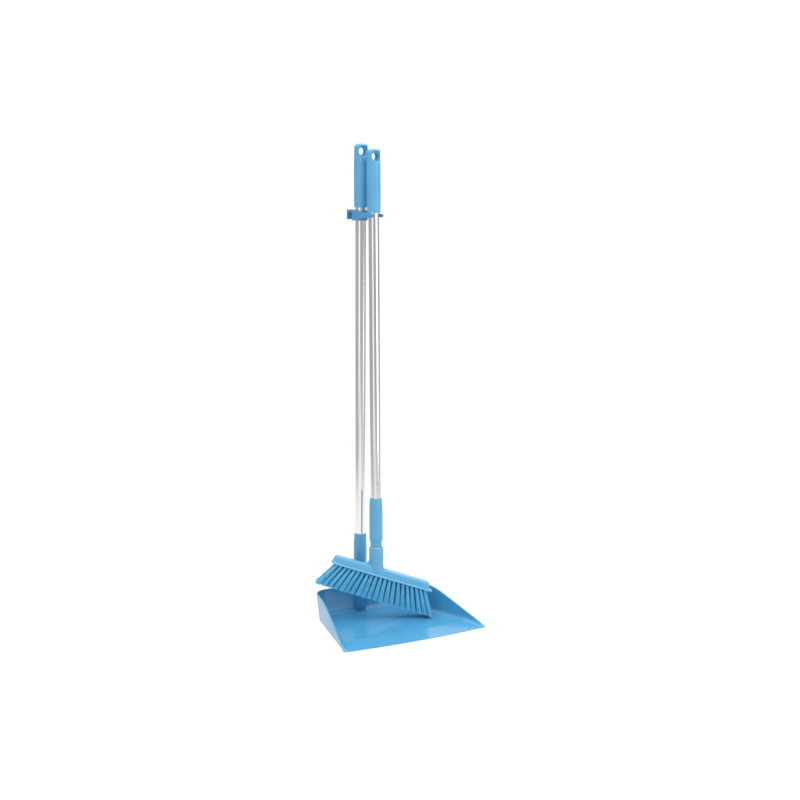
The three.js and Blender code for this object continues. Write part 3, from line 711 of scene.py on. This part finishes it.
def grip_mesh():
    """Hand grip with an arched top and a bevelled hanging hole; zero is its lower end."""
    barrel = [(0, 0), (GRIP_RADIUS - 1.4, 0), (GRIP_RADIUS - 0.4, 0.5), (GRIP_RADIUS, 2)]
    for i in range(1, 16):
        share = i / 16
        barrel.append((GRIP_RADIUS + GRIP_SWELL * math.sin(math.pi * share), GRIP_LENGTH * share))
    barrel += [(GRIP_RADIUS, GRIP_LENGTH + 1), (0, GRIP_LENGTH + 1)]
    half = GRIP_RADIUS + 2 * GRIP_SWELL
    spread = math.degrees(math.acos(GRIP_RADIUS / ARCH_RADIUS))
    centre = (0, GRIP_LENGTH - ARCH_RADIUS)
    edge = centre[1] + ARCH_RADIUS * math.sin(math.radians(spread))
    outline = [(-half, -PAST), (half, -PAST), (half, edge)]
    outline += arc(centre, ARCH_RADIUS, spread, 180 - spread, 40) + [(-half, edge)]
    arch = prism("arch", outline, -GRIP_CUT, GRIP_CUT, "xz")
    face = GRIP_RADIUS + GRIP_SWELL
    flare = HOLE_RADIUS + HOLE_BEVEL
    hole = [(0, -HOLE_CUT), (flare, -HOLE_CUT), (flare, -face)]
    hole += bent((flare, -face), (HOLE_RADIUS + 0.8, -HOLE_WAIST - 2.5), (HOLE_RADIUS, -HOLE_WAIST), 8)[1:]
    crown = arc((0, GRIP_LENGTH - GRIP_CROWN), GRIP_CROWN, 3, 177, 60)
    cap = prism("cap", [(-GRIP_CUT, -PAST), (GRIP_CUT, -PAST)] + crown, -GRIP_CUT, GRIP_CUT, "xz")
    cap.transform(Matrix.Rotation(math.radians(90), 4, "Z"))
    hole += [(r, -z) for r, z in reversed(hole[2:])] + [(flare, HOLE_CUT), (0, HOLE_CUT)]
    cutter = turned("hole", hole)
    cutter.transform(Matrix.Rotation(math.radians(90), 4, "X"))
    cutter.transform(Matrix.Translation((0, 0, (GRIP_LENGTH - HOLE_DROP) * MM)))
    bore_radius = TUBE_RADIUS + SEAT_GAP
    bore = turned("bore", [
        (0, -PAST), (bore_radius, -PAST), (bore_radius, GRIP_BORE_DEPTH), (0, GRIP_BORE_DEPTH),
    ])
    solid = combined(turned("barrel", barrel), [arch, cap], "INTERSECT")
    return moulded(combined(solid, [cutter, bore], "DIFFERENCE"), voxel=0.5, passes=16)


def build_handle(prefix, exposed, place, body, materials):
    """Ferrule, tube and grip of one handle on its own axis."""
    shoulder = NECK_LENGTH + SEAT_GAP
    parts = (
        ("ferrule", ferrule_mesh(), shoulder, materials["ferrule"], "grip_plastic"),
        ("tube", tube_mesh(exposed), shoulder + FERRULE_LENGTH - FERRULE_BORE_DEPTH + SEAT_GAP,
         materials["metal"], "tube_aluminium"),
        ("grip", grip_mesh(), shoulder + FERRULE_LENGTH + exposed, materials["grip"], "grip_plastic"),
    )
    for part, mesh, height, material, slot in parts:
        node = f"{prefix}_{part}"
        spot = place @ Matrix.Translation((0, 0, height * MM))
        sharp = 180 if part == "grip" else 38
        piece(f"{node}_look", mesh, material, spot, body, [node], sharp)


# ---------- clip ----------

def clip_mesh():
    """Collar with a downturned hook behind it and two springy arms in front."""
    jaw = TUBE_RADIUS + JAW_GAP
    outer = jaw + CLIP_WALL
    back = -TUBE_RADIUS - 0.7
    hook_back = back - HOOK_GAP - HOOK_WALL
    tip = CLIP_SPACING + ARM_REACH
    arch = (hook_back + HOOK_WALL + HOOK_GAP / 2, -HOOK_WALL - HOOK_GAP / 2)
    arm_foot = -ARM_DROP - ARM_HEIGHT
    half_arm = ARM_HEIGHT / 2
    low, high = CLIP_CUT
    side = [(hook_back, 0), (hook_back, -HOOK_DROP), (hook_back + HOOK_WALL, -HOOK_DROP)]
    side += arc(arch, HOOK_GAP / 2, 180, 0, 16)
    side += [(back, -CLIP_HEIGHT + CLIP_EDGE), (back + CLIP_EDGE, -CLIP_HEIGHT)]
    side += bent(
        (-TUBE_RADIUS / 3, -CLIP_HEIGHT), (CLIP_SPACING * 0.3, arm_foot), (CLIP_SPACING * 0.8, arm_foot), 14
    )
    side += arc((tip - half_arm, -ARM_DROP - half_arm), half_arm, -90, 90, 12)
    side += bent((CLIP_SPACING - GRIP_RADIUS - 2.6, -ARM_DROP), (TUBE_RADIUS, -ARM_DROP / 2), (0, 0), 10)

    def plan(half, start, end):
        """The clip from above: straight sides that flare at the arms' tips."""
        bend = CLIP_SPACING + TUBE_RADIUS / 2
        right = bent((bend, half), (tip, half), (end, half + ARM_FLARE), 6)
        return [(start, -half)] + [(x, -y) for x, y in right] + list(reversed(right)) + [(start, half)]

    def bore(radius, x):
        drill = turned("bore", [(0, low), (radius, low), (radius, high), (0, high)])
        drill.transform(Matrix.Translation((x * MM, 0, 0)))
        return drill

    solid = prism("clip", side, -2 * outer, 2 * outer, "xz")
    solid = combined(solid, [prism("plan", plan(outer, low, tip + 1), low, high)], "INTERSECT")
    collar = [
        (0, -CLIP_HEIGHT), (outer - 1, -CLIP_HEIGHT), (outer, -CLIP_HEIGHT + 1),
        (outer, -CLIP_EDGE), (0, -CLIP_EDGE),
    ]
    solid = combined(solid, [turned("collar", collar)], "UNION")
    slot = prism("slot", plan(jaw, CLIP_SPACING, tip + 1), low, high)
    solid = combined(solid, [slot, bore(jaw, CLIP_SPACING), bore(TUBE_RADIUS + SEAT_GAP, 0)], "DIFFERENCE")
    return moulded(solid, voxel=0.4, passes=8)


# ---------- broom head ----------

def block_mesh():
    """Low block with a thin lip, hollowed flanks, and a tilted socket faired into its top."""
    rings = []
    for share, inset, *ends in BLOCK_LEVELS:
        half_y = BLOCK_WIDTH / 2 - inset
        radius = BLOCK_CORNER - inset * 0.5
        ring = []
        for corner, (sx, sy) in enumerate(((1, 1), (-1, 1), (-1, -1), (1, -1))):
            half_x = BLOCK_LENGTH / 2 - ends[sx > 0]
            centre = (sx * (half_x - radius) + BLOCK_OFFSET, sy * (half_y - radius))
            ring += arc(centre, radius, 90 * corner, 90 * corner + 90, 10)
        rings.append([(x, y, share * BLOCK_HEIGHT) for x, y in ring])
    body = rings_mesh("block", rings)
    tilt = Matrix.Rotation(math.radians(-BLOCK_TILT), 4, "Y")
    socket = turned("socket", [
        (0, 4), (HEAD_SOCKET_RADIUS - 4, 4), (HEAD_SOCKET_RADIUS, 8),
        (HEAD_SOCKET_RADIUS, HEAD_SOCKET_LENGTH - 3.6), (HEAD_SOCKET_RADIUS - 2.3, HEAD_SOCKET_LENGTH - 0.5),
        (HEAD_SOCKET_RADIUS - 2.8, HEAD_SOCKET_LENGTH), (0, HEAD_SOCKET_LENGTH),
    ])
    socket.transform(tilt)
    lean = math.tan(math.radians(BLOCK_TILT))
    foot = BLOCK_HEIGHT - WEB_SINK
    wall = HEAD_SOCKET_RADIUS / math.cos(math.radians(BLOCK_TILT)) - 0.6
    outline = []
    for side, reach, rise in WEB_SIDES:
        low, top = foot, foot + rise
        curve = bent(
            (side * (wall + reach) - lean * low, low),
            (side * wall - lean * (low + 1), low + 2),
            (side * wall - lean * top, top),
            14,
        )
        outline += curve if side < 0 else list(reversed(curve))
    web = prism("web", outline, -WEB_DEPTH / 2, WEB_DEPTH / 2, "xz")
    low = HEAD_SOCKET_LENGTH - SPIGOT_LENGTH - SOCKET_FOOT_GAP
    high = HEAD_SOCKET_LENGTH + PAST
    bore = turned("bore", [(0, low), (SOCKET_BORE, low), (SOCKET_BORE, high), (0, high)])
    bore.transform(tilt)
    solid = combined(body, [socket, web], "UNION")
    return moulded(combined(solid, [bore], "DIFFERENCE"), voxel=0.65, passes=6)


def strand_points(start, middle, end, turn):
    """The rings of one strand: a thin, slightly tapered tube along a quadratic curve."""
    points = []
    for step in range(FILAMENT_STEPS + 1):
        t = step / FILAMENT_STEPS
        spot = start * (1 - t) ** 2 + middle * 2 * t * (1 - t) + end * t * t
        radius = FILAMENT_RADIUS * (1 - FILAMENT_TAPER * t)
        for side in range(FILAMENT_SIDES):
            angle = 2 * math.pi * side / FILAMENT_SIDES + turn
            points.append((spot.x + radius * math.cos(angle), spot.y + radius * math.sin(angle), spot.z))
    return points


def strand_faces(base):
    """The faces of one strand whose points start at base, with both its ends closed."""
    faces = []
    for step in range(FILAMENT_STEPS):
        for side in range(FILAMENT_SIDES):
            a = base + step * FILAMENT_SIDES + side
            b = base + step * FILAMENT_SIDES + (side + 1) % FILAMENT_SIDES
            faces.append((a, b, b + FILAMENT_SIDES, a + FILAMENT_SIDES))
    faces.append(tuple(base + side for side in range(FILAMENT_SIDES)))
    end = base + FILAMENT_STEPS * FILAMENT_SIDES
    faces.append(tuple(end + side for side in reversed(range(FILAMENT_SIDES))))
    return faces


def column_mesh(column):
    """One column of tufts across the block, strand by strand."""
    share = column / (COLUMNS - 1)
    root_x = TUFT_OFFSET + (column - (COLUMNS - 1) / 2) * TUFT_PITCH
    tip_x = root_x - FAN_LEFT + (FAN_LEFT + FAN_RIGHT) * share
    points, faces = [], []
    for row in range(ROWS):
        stagger = TUFT_PITCH / 2 if row == 1 and column + 1 < COLUMNS else 0
        root_y = (row - (ROWS - 1) / 2) * ROW_PITCH
        sway = Vector((random.gauss(0, TUFT_SWAY), random.gauss(0, TUFT_SWAY), 0))
        lean = stagger * TIP_RADIUS[0] / TUFT_PITCH * 2
        for strand in range(FILAMENTS):
            angle = strand * GOLDEN_ANGLE + random.gauss(0, ANGLE_JITTER)
            out = math.sqrt((strand + 0.5) / FILAMENTS)
            spread = Vector((math.cos(angle), math.sin(angle), 0)) * out
            root = Vector((root_x + stagger + spread.x * TUFT_RADIUS, root_y + spread.y * TUFT_RADIUS, 0))
            tip = Vector((
                tip_x + lean + spread.x * TIP_RADIUS[0] + random.gauss(0, TIP_JITTER[0]),
                root_y * ROW_SPREAD + spread.y * TIP_RADIUS[1] + random.gauss(0, TIP_JITTER[1]),
                -TUFT_LENGTH + abs(random.gauss(0, TIP_JITTER[2])),
            )) + sway
            bow = Vector((
                random.gauss(0, BOW_JITTER) - spread.x * BOW_INWARD[0],
                random.gauss(0, BOW_JITTER) - spread.y * BOW_INWARD[1],
                0,
            ))
            middle = (root + tip) / 2 + bow
            start = root + (root - tip) * ROOT_DEPTH
            faces += strand_faces(len(points))
            points += strand_points(start, middle, tip, strand)
    mesh = bpy.data.meshes.new("column")
    mesh.from_pydata([tuple(c * MM for c in p) for p in points], [], faces)
    return mesh


# ---------- studio ----------

def area_light(name, bearing, height, distance, size, power, target):
    """A soft panel at a bearing seen from above, measured like the camera's."""
    data = bpy.data.lights.new(name, "AREA")
    data.shape, data.size, data.size_y, data.energy = "RECTANGLE", size[0], size[1], power
    lamp = bpy.data.objects.new(name, data)
    angle = math.radians(bearing)
    lamp.location = (-distance * math.sin(angle), -distance * math.cos(angle), height)
    lamp.rotation_mode = "QUATERNION"
    lamp.rotation_quaternion = (target - lamp.location).to_track_quat("-Z", "Y")
    bpy.context.scene.collection.objects.link(lamp)


def eased(tree, value, start, end, low, high):
    """A shader value eased from its start..end span onto low..high."""
    spread = tree.nodes.new("ShaderNodeMapRange")
    spread.interpolation_type = "SMOOTHSTEP"
    for key, number in zip(("From Min", "From Max", "To Min", "To Max"), (start, end, low, high)):
        spread.inputs[key].default_value = number
    tree.links.new(value, spread.inputs["Value"])
    return spread.outputs["Result"]


def along(tree, value, direction):
    """How far a shader vector runs along a fixed direction."""
    dot = tree.nodes.new("ShaderNodeVectorMath")
    dot.operation = "DOT_PRODUCT"
    dot.inputs[1].default_value = direction
    tree.links.new(value, dot.inputs[0])
    return dot.outputs["Value"]


def worked_out(tree, operation, *values):
    """A Math node on shader values and plain numbers."""
    node = tree.nodes.new("ShaderNodeMath")
    node.operation = operation
    for socket, value in zip(node.inputs, values):
        if isinstance(value, float):
            socket.default_value = value
        else:
            tree.links.new(value, socket)
    return node.outputs["Value"]


def floor_material():
    """Floor with painted light: it glows white in a wedge that widens along the camera's heading, and grey
    beside it.
    """
    made = bpy.data.materials.new("studio_floor_glow")
    made.use_nodes = True
    tree = made.node_tree
    shader = tree.nodes["Principled BSDF"]
    shader.inputs["Base Color"].default_value = (FLOOR_BASE, FLOOR_BASE, FLOOR_BASE, 1)
    shader.inputs["Roughness"].default_value = 0.9
    shader.inputs["Specular IOR Level"].default_value = 0
    shader.inputs["Emission Color"].default_value = (1, 1, 1, 1)
    place = tree.nodes.new("ShaderNodeTexCoord").outputs["Object"]
    bearing = math.radians(CAMERA_HEADING)
    beside = worked_out(tree, "ABSOLUTE", along(tree, place, (math.cos(bearing), -math.sin(bearing), 0)))
    ahead = along(tree, place, (math.sin(bearing), math.cos(bearing), 0))
    edge = worked_out(tree, "MULTIPLY_ADD", ahead, -GLOW_WEDGE_SPREAD, beside)
    start = GLOW_WEDGE_SPREAD * CAMERA_DISTANCE
    # painted light: the floor's emission, full inside the wedge and fading to the sides
    glow = eased(tree, edge, start, start + GLOW_WEDGE_FADE, FLOOR_GLOW, FLOOR_SIDE_GLOW)
    tree.links.new(glow, shader.inputs["Emission Strength"])
    return made


def build_floor():
    """One wide flat sheet under the pan."""
    reach = FLOOR_REACH
    corners = [(-reach, -reach, 0), (reach, -reach, 0), (reach, reach, 0), (-reach, reach, 0)]
    mesh = bpy.data.meshes.new("studio_floor")
    mesh.from_pydata(corners, [], [(0, 1, 2, 3)])
    mesh.materials.append(floor_material())
    floor = bpy.data.objects.new("studio_floor", mesh)
    bpy.context.scene.collection.objects.link(floor)


def build_world():
    """Grey surroundings, lighter overhead and along the photo camera's heading."""
    world = bpy.data.worlds.new("studio_world")
    world.use_nodes = True
    tree = world.node_tree
    coordinates = tree.nodes.new("ShaderNodeTexCoord").outputs["Generated"]
    bearing = math.radians(CAMERA_HEADING)
    toward = along(tree, coordinates, (math.sin(bearing), math.cos(bearing), BACKDROP_RISE))
    backdrop = eased(tree, toward, *BACKDROP_SPAN, WORLD_SIDES, WORLD_BACKDROP)
    split = tree.nodes.new("ShaderNodeSeparateXYZ")
    tree.links.new(coordinates, split.inputs["Vector"])
    ceiling = eased(tree, split.outputs["Z"], *CEILING_SPAN, WORLD_SIDES, WORLD_CEILING)
    background = tree.nodes["Background"]
    background.inputs["Color"].default_value = (1, 1, 1, 1)
    tree.links.new(worked_out(tree, "MAXIMUM", backdrop, ceiling), background.inputs["Strength"])
    bpy.context.scene.world = world


def build_studio():
    """Floor, surroundings, and soft panels beside the camera and overhead."""
    build_floor()
    build_world()
    for name, bearing, height, distance, size, power in PANELS:
        area_light(name, bearing, height, distance, size, power, Vector(PANEL_TARGET))
    bpy.context.scene.view_settings.view_transform = "Standard"


def build_camera():
    """The photographer's place: in front of the pan's left corner, just under the grips' height."""
    data = bpy.data.cameras.new("camera")
    data.lens, data.sensor_width, data.clip_end = CAMERA_LENS, SENSOR_WIDTH, VIEW_END
    camera = bpy.data.objects.new("camera", data)
    bearing = math.radians(CAMERA_BEARING)
    ground = Vector((-math.sin(bearing), -math.cos(bearing), 0)) * CAMERA_DISTANCE
    camera.location = ground + Vector((0, pan_front_y, CAMERA_HEIGHT))
    heading = Matrix.Rotation(-math.radians(CAMERA_HEADING), 4, "Z")
    pitch = Matrix.Rotation(math.radians(90 - CAMERA_PITCH), 4, "X")
    roll = Matrix.Rotation(math.radians(CAMERA_ROLL), 4, "Z")
    camera.rotation_mode = "QUATERNION"
    camera.rotation_quaternion = (heading @ pitch @ roll).to_quaternion()
    bpy.context.scene.collection.objects.link(camera)
    bpy.context.scene.camera = camera


# ---------- the scene ----------

build_camera()
build_studio()

materials = {
    "pan": plastic("pan_finish", COLOURS["pan"], 0.21, 0.003, 0.03),
    "ferrule": plastic("ferrule_finish", COLOURS["ferrule"], 0.34, 0.005),
    "grip": plastic("grip_finish", COLOURS["grip"], 0.42, 0.012),
    "clip": plastic("clip_finish", COLOURS["clip"], 0.4, 0.008),
    "block": plastic("block_finish", COLOURS["block"], 0.36, 0.006),
    "bristle": filament("bristle_finish"),
    "metal": aluminium("tube_finish"),
}

piece("pan_look", pan_mesh(), materials["pan"], pan_frame, "dustpan", ["pan"])
boss_place = Matrix.Translation((0, handle_y, 0))
piece("pan_socket_look", boss_mesh(), materials["pan"], boss_place, "dustpan")
build_handle("pan", PAN_TUBE_EXPOSED, pan_handle_frame, "dustpan", materials)
build_handle("broom", BROOM_TUBE_EXPOSED, broom_handle_frame, "broom_handle", materials)
piece(
    "handle_clip_look", clip_mesh(), materials["clip"], clip_frame, "dustpan",
    ["handle_clip"], sharp=70,
)
piece(
    "broom_block_look", block_mesh(), materials["block"], head_frame, "broom_head",
    ["broom_block"], sharp=70,
)
for column in range(COLUMNS):
    name = f"tuft_column_{column + 1:02d}"
    tufts = column_mesh(column)
    piece(f"{name}_look", tufts, materials["bristle"], head_frame, "broom_head", [name])
